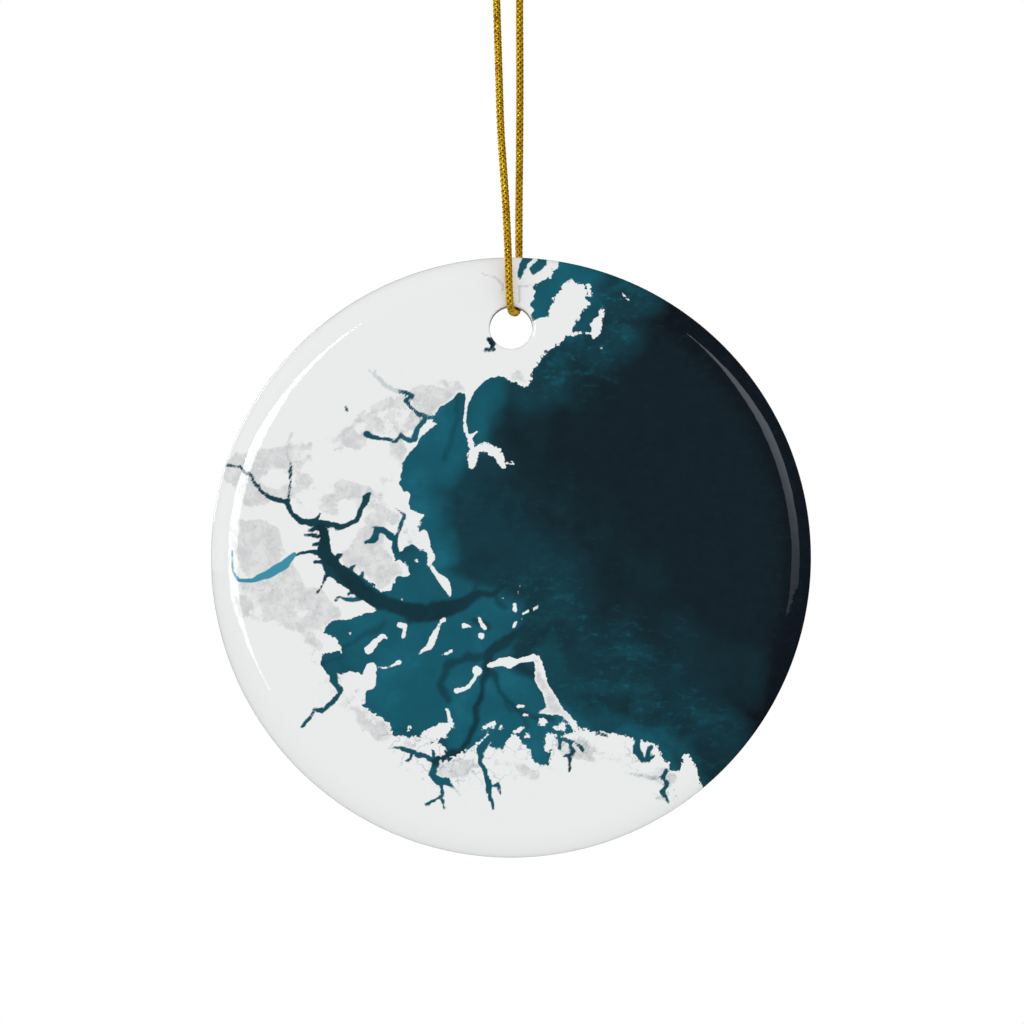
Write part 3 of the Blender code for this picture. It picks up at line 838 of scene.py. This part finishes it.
def inside_outline(x, z, outline):
    """How far inside a closed outline each place lies, less than 0 outside it."""
    nearest = np.full_like(x, 1e3)
    crossed = np.zeros(x.shape, bool)
    for (x0, z0), (x1, z1) in zip(outline, outline[1:] + outline[:1]):
        dx, dz = x1 - x0, z1 - z0
        t = np.clip(((x - x0) * dx + (z - z0) * dz) / (dx * dx + dz * dz), 0, 1)
        nearest = np.minimum(nearest, np.hypot(x - x0 - t * dx, z - z0 - t * dz))
        spans = (z0 > z) != (z1 > z)
        if dz:
            crossed ^= spans & (x < x0 + (z - z0) * dx / dz)
    return np.where(crossed, nearest, -nearest)


# The face's mesh can't carry a narrower stream, in half width.
FINEST_STREAM = 0.14


def coast_fields(x, z):
    """What the print shows at each place: its shores, depth, marshes, creeks and so on, as one array each."""
    place = np.array([x, z])

    def drift(amount, size, x_seed, z_seed, octaves=4, persistence=0.5):
        """Offsets from noise, which make ragged shores of what is drawn straight."""
        return amount * np.array([rough(x, z, size, seed, octaves, persistence) for seed in (x_seed, z_seed)])

    bent = place + drift(0.30, 1.5, 11, 31) + drift(0.12, 0.5, 21, 41, 2)
    fine = place + drift(0.10, 1.2, 51, 61, 3)
    winding = place + drift(0.22, 1.3, 55, 65, 4, 0.6)
    soft = place + drift(0.35, 2, 91, 101, 3)
    swirl = place + drift(1.6, 6, 71, 81, 3)

    sea = inside_outline(*bent, OPEN_SEA)
    shore = np.minimum(sea, -inside_outline(*fine, BARRIER))
    shore = np.minimum(shore, -inside_any(*fine, LAND_STROKES + [[rock, rock] for rock in ROCKS]))
    streams = [[(px, pz, max(half, FINEST_STREAM)) for px, pz, half in spine] for spine in WATER_STROKES]
    stream = inside_any(*winding, streams)

    depth = np.ones_like(x)
    for spine, fade, tone in SHALLOWS:
        outside = -inside_stroke(*swirl, spine)
        depth = np.minimum(depth, tone + (1 - tone) * smoothstep(0, fade, outside))
    # The open sea is never at its deepest within reach of a shore.
    depth = np.minimum(depth, 0.5 + 0.5 * smoothstep(0, 2.2, sea))
    for spine, dark in CHANNELS:
        inside = inside_stroke(*soft, spine)
        depth = np.maximum(depth, 0.2 + (dark - 0.2) * smoothstep(-0.42, 0.12, inside))
    mottled = np.full_like(x, 0.05)
    for spine, strength, size in MOTTLES:
        inside = strength * smoothstep(-4, 1.5, inside_stroke(*swirl, spine))
        streaks = rough(x * 0.7, z * 1.25, size, 111, 5, 0.62)
        depth = depth - 0.5 * inside * smoothstep(-0.1, 0.9, streaks) * smoothstep(0.25, 0.6, depth)
        mottled = np.maximum(mottled, inside * smoothstep(0.25, 0.6, depth))
    depth = depth + 0.05 * rough(x, z, 3, 121, 4)
    # The deepest tone is kept for the rim: deep water is darkened further from 31 to 35 mm out from the
    # centre.
    depth = np.minimum(depth, 0.92) + 0.08 * smoothstep(31, 35, np.hypot(x, z)) * smoothstep(0.7, 0.9, depth)

    marsh = smoothstep(-1.3, 0.4, inside_any(swirl[0] * 0.4 + x * 0.6, z, MARSHES))
    limited = {
        "shore": shore,
        "stream": stream,
        "pale": inside_stroke(*fine, PALE_REACH),
        "trace": inside_any(*winding, TRACES),
    }
    return {
        **{name: np.clip(values, -1.5, 1.5) for name, values in limited.items()},
        "depth": np.clip(depth, 0, 1),
        "marsh": marsh * (0.62 + 0.55 * rough(x, z, 3.2, 131, 4, 0.55)),
        "rugged": strongest(x, z, RUGGED),
        "creeks": strongest(x, z, CREEKS) * smoothstep(-3.5, -0.3, np.maximum(shore, stream)),
        "mottled": mottled,
    }


# ---- the disc

FACE_RINGS = 120
HOLE_BLOCK_ACROSS = 18
HOLE_BLOCK_RINGS = (84, 118)
PATCH_ROWS = 8
BACK_RINGS = 30
BACK_BLOCK_ACROSS = 4
BACK_BLOCK_RINGS = (21, 29)
RIM_ROWS_FRONT = 18
RIM_ROWS_BACK = 8
HOLE_EDGE_ROWS = 6
BORE_ROWS = 3
FLAT_RADIUS = DISC_RADIUS - RIM_WIDTH


def round_grid(rings, radius, block_across, block_rings):
    """A square grid drawn out into a disc, with a block left out where the hole goes.

    Returns its places, its faces, the indices along its outer edge and along the block's edge,
    both anticlockwise as seen from the front.
    """
    side = 2 * rings + 1
    a, b = np.meshgrid(np.arange(-rings, rings + 1), np.arange(-rings, rings + 1), indexing="ij")
    a, b = a.ravel().astype(float), b.ravel().astype(float)
    wide = np.abs(a) >= np.abs(b)
    span = np.where(wide, a, b)
    safe = np.where(span == 0, 1, span)
    angle = np.where(wide, math.pi / 4 * b / safe, math.pi / 2 - math.pi / 4 * a / safe)
    reach = span * radius / rings
    places = np.stack([reach * np.cos(angle), reach * np.sin(angle)], axis=1)

    def at(i, j):
        return (i + rings) * side + (j + rings)

    def around(i0, i1, j0, j1):
        bottom = [at(i, j0) for i in range(i0, i1)]
        right = [at(i1, j) for j in range(j0, j1)]
        top = [at(i, j1) for i in range(i1, i0, -1)]
        left = [at(i0, j) for j in range(j1, j0, -1)]
        return bottom + right + top + left

    low, high = block_rings
    faces = [
        (at(i, j), at(i + 1, j), at(i + 1, j + 1), at(i, j + 1))
        for i in range(-rings, rings)
        for j in range(-rings, rings)
        if not (-block_across <= i < block_across and low <= j < high)
    ]
    outer = around(-rings, rings, -rings, rings)
    inner = around(-block_across, block_across, low, high)
    return places, faces, outer, inner


def circle(radius, depth, angles, up=0.0):
    """Points of a circle about a place up from the disc's centre."""
    return [(radius * math.cos(t), depth, up + radius * math.sin(t)) for t in angles]


class Shell:
    """Gathers points and faces. A loop is a list of point indices, anticlockwise as seen from the front."""

    def __init__(self):
        self.points = []
        self.faces = []

    def add(self, points):
        first = len(self.points)
        self.points.extend(tuple(point) for point in points)
        return list(range(first, len(self.points)))

    def band(self, outer, inner):
        """Quads between two loops of the same length."""
        for k in range(len(outer)):
            n = (k + 1) % len(outer)
            self.faces.append((outer[k], outer[n], inner[n], inner[k]))

    def stitch_back(self, outer, inner, centre):
        """Triangles that face the back, between two loops of different lengths round a centre (x, z)."""
        def turns(loop):
            places = np.array([self.points[k] for k in [*loop, loop[0]]])
            return np.unwrap(np.arctan2(places[:, 2] - centre[1], places[:, 0] - centre[0]))

        target = turns(inner)[0]
        away = np.abs(np.remainder(turns(outer)[:-1] - target + math.pi, math.tau) - math.pi)
        first = int(np.argmin(away))
        outer = outer[first:] + outer[:first]
        outer_turns, inner_turns = turns(outer), turns(inner)
        outer_turns -= outer_turns[0]
        inner_turns -= inner_turns[0]
        outer, inner = [*outer, outer[0]], [*inner, inner[0]]
        o = i = 0
        while o < len(outer) - 1 or i < len(inner) - 1:
            at_end = i == len(inner) - 1
            if at_end or (o < len(outer) - 1 and outer_turns[o + 1] <= inner_turns[i + 1]):
                self.faces.append((inner[i], outer[o + 1], outer[o]))
                o += 1
            else:
                self.faces.append((inner[i], inner[i + 1], outer[o]))
                i += 1


def rim_profile():
    """Rows (radius, depth) from the flat face's edge round the rim to the flat back's edge."""
    turns = [math.pi / 2 * row / RIM_ROWS_FRONT for row in range(1, RIM_ROWS_FRONT + 1)]
    turns += [math.pi / 2 * (1 + row / RIM_ROWS_BACK) for row in range(1, RIM_ROWS_BACK + 1)]
    return [(FLAT_RADIUS + RIM_WIDTH * math.sin(t), -DISC_HALF_THICKNESS * math.cos(t)) for t in turns]


def hole_profile():
    """Rows (radius, depth) from the hole's front edge through the bore to its back edge."""
    front, edge = -DISC_HALF_THICKNESS, HOLE_RADIUS + HOLE_EDGE_RADIUS
    turns = [math.pi / 2 * row / HOLE_EDGE_ROWS for row in range(1, HOLE_EDGE_ROWS + 1)]
    rounding = [(edge - HOLE_EDGE_RADIUS * math.sin(t), front + HOLE_EDGE_RADIUS * (1 - math.cos(t)))
                for t in turns]
    start = front + HOLE_EDGE_RADIUS
    bore = [(HOLE_RADIUS, start * (1 - 2 * row / (BORE_ROWS + 1))) for row in range(1, BORE_ROWS + 1)]
    mirrored = [(radius, -depth) for radius, depth in reversed(rounding)]
    return rounding + bore + mirrored + [(edge, -front)]


def disc_shell():
    """The glazed disc as one closed shell, its face finely divided to carry the print."""
    shell = Shell()
    front = -DISC_HALF_THICKNESS
    hole_up = HOLE_Z - DISC_CENTRE_Z

    places, faces, loop, block = round_grid(FACE_RINGS, FLAT_RADIUS, HOLE_BLOCK_ACROSS, HOLE_BLOCK_RINGS)
    shell.add([(x, front, z) for x, z in places])
    shell.faces.extend(faces)
    angles = [math.atan2(places[k][1], places[k][0]) for k in loop]
    for radius, depth in rim_profile():
        following = shell.add(circle(radius, depth, angles))
        shell.band(following, loop)
        loop = following
    back_rim = loop

    corners = np.array([places[k] for k in block])
    angles = [math.atan2(z - hole_up, x) for x, z in corners]
    edge = np.array(circle(HOLE_RADIUS + HOLE_EDGE_RADIUS, front, angles, hole_up))[:, [0, 2]]
    loop = block
    for row in range(1, PATCH_ROWS + 1):
        share = row / PATCH_ROWS
        following = shell.add([(x, front, z) for x, z in corners * (1 - share) + edge * share])
        shell.band(loop, following)
        loop = following
    for radius, depth in hole_profile():
        following = shell.add(circle(radius, depth, angles, hole_up))
        shell.band(loop, following)
        loop = following
    back_hole = loop

    radius = FLAT_RADIUS * (BACK_RINGS - 1) / BACK_RINGS
    places, faces, outer, block = round_grid(BACK_RINGS, radius, BACK_BLOCK_ACROSS, BACK_BLOCK_RINGS)
    first = shell.add([(x, -front, z) for x, z in places])[0]
    shell.faces.extend(tuple(first + k for k in reversed(face)) for face in faces)
    shell.stitch_back(back_rim, [first + k for k in outer], (0.0, 0.0))
    shell.stitch_back([first + k for k in block], back_hole, (0.0, hole_up))
    return shell


def used_only(points, faces):
    """The same faces with the points that none of them uses left out."""
    used = np.zeros(len(points), bool)
    for face in faces:
        used[list(face)] = True
    numbers = np.cumsum(used) - 1
    return np.array(points)[used], [tuple(int(numbers[k]) for k in face) for face in faces]


PAPER_WHITE = linear(233, 235, 235)


def water_over(nodes, where):
    """Where the print is water, from 0 to 1, its shores made ragged by noise finer than the mesh."""
    jitter = nodes.swing(where, 2600.0, detail=3.0, roughness=0.6)
    raggedness = nodes.math("MULTIPLY_ADD", nodes.field("rugged"), 1.0, 0.34)
    shore = nodes.math("MULTIPLY_ADD", jitter, raggedness, nodes.field("shore"))
    bank = nodes.math("MULTIPLY_ADD", jitter, 0.3, nodes.field("stream"))
    ridge = nodes.math("ABSOLUTE", nodes.swing(where, 430.0, detail=3.0, roughness=0.55))
    creek = nodes.math("SUBTRACT", nodes.math("MULTIPLY", nodes.field("creeks"), 0.02), ridge)
    water = nodes.math("MAXIMUM", nodes.fade(shore, -0.05, 0.05), nodes.fade(bank, -0.12, 0.05))
    water = nodes.math("MAXIMUM", water, nodes.fade(creek, -0.004, 0.012, 0.0, 0.28))
    reach = nodes.math("MULTIPLY_ADD", jitter, 0.1, nodes.field("pale"))
    return water, nodes.fade(reach, -0.1, 0.05)


def sea_colour(nodes, where):
    """From the light teal of the shallows to the near black of the deep."""
    soft_grain = nodes.math("MULTIPLY", nodes.swing(where, 700.0, detail=4.0, roughness=0.6), 0.07)
    depth = nodes.math("ADD", nodes.field("depth"), soft_grain)
    stretched = nodes.add("ShaderNodeMapping", {"Vector": where, "Scale": (0.75, 1.0, 1.35)})
    streaks = nodes.noise(stretched.outputs[0], 1000.0, detail=6.0, roughness=0.68)
    flecks = nodes.math("MULTIPLY", nodes.fade(streaks, 0.50, 0.76), nodes.field("mottled"))
    depth = nodes.math("SUBTRACT", depth, nodes.math("MULTIPLY", flecks, 1.3))
    return nodes.ramp(depth, [
        (0.00, linear(36, 116, 137)),
        (0.20, linear(25, 89, 105)),
        (0.45, linear(23, 67, 79)),
        (0.70, linear(22, 49, 58)),
        (0.92, linear(21, 34, 41)),
        (1.00, linear(17, 23, 30)),
    ])


def land_colour(nodes, where):
    """White paper with grey marshes and built-up ground, and thin grey streams and roads."""
    blotches = nodes.swing(where, 480.0, detail=8.0, roughness=0.76)
    spread = nodes.math("MULTIPLY_ADD", blotches, 1.7, nodes.field("marsh"))
    near_shore = nodes.fade(nodes.field("shore"), -0.4, -0.1, 1.0, 0.3)
    ground = nodes.math("MULTIPLY", nodes.fade(spread, 0.38, 0.60), near_shore)
    tint = nodes.fade(nodes.noise(where, 700.0, detail=6.0, roughness=0.75), 0.36, 0.62)
    ridge = nodes.math("ABSOLUTE", nodes.swing(where, 650.0, detail=3.0))
    soil = nodes.mix(tint, linear(203, 205, 206), linear(222, 223, 223))
    soil = nodes.mix(nodes.fade(ridge, 0.0, 0.02, 0.4, 0.0), soil, linear(176, 184, 188))
    land = nodes.mix(ground, PAPER_WHITE, soil)
    return nodes.mix(nodes.fade(nodes.field("trace"), -0.2, 0.02, 0.0, 0.5), land, linear(158, 170, 176))


def glazed_print():
    """White glaze whose front carries the coast: land, marshes, shallow and deep water."""
    made, nodes = material("glazed_ceramic")
    where = nodes.add("ShaderNodeTexCoord").outputs["Object"]
    water, reach = water_over(nodes, where)
    shown = nodes.mix(water, land_colour(nodes, where), sea_colour(nodes, where))
    shown = nodes.mix(reach, shown, linear(62, 142, 166))
    glazed = nodes.mix(nodes.field("printed"), PAPER_WHITE, shown)

    swell = nodes.noise(where, 140.0)
    ripples = nodes.math("MULTIPLY_ADD", nodes.noise(where, 650.0), 0.3, swell)
    bump = nodes.add("ShaderNodeBump", {"Strength": 0.5, "Distance": 0.0001, "Height": ripples})
    roughness = nodes.fade(nodes.noise(where, 300.0, detail=3.0), 0.3, 0.7, 0.025, 0.05)
    nodes.surface(nodes.add("ShaderNodeBsdfPrincipled", {
        "Base Color": glazed, "Roughness": roughness, "IOR": 1.5, "Normal": bump.outputs[0],
    }))
    return made


def make_disc():
    shell = disc_shell()
    points, faces = used_only(shell.points, shell.faces)
    x, y, z = points.T
    fields = coast_fields(x, z)
    # The picture runs over the rim and ends a little behind its widest place.
    fields["printed"] = 1 - smoothstep(0.5, 0.9, y)
    points[:, 2] += DISC_CENTRE_Z
    disc = add_mesh("glazed_disc", points, faces, glazed_print(), fields)
    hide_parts("ceramic_disc")
    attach(disc, "disc")


make_disc()
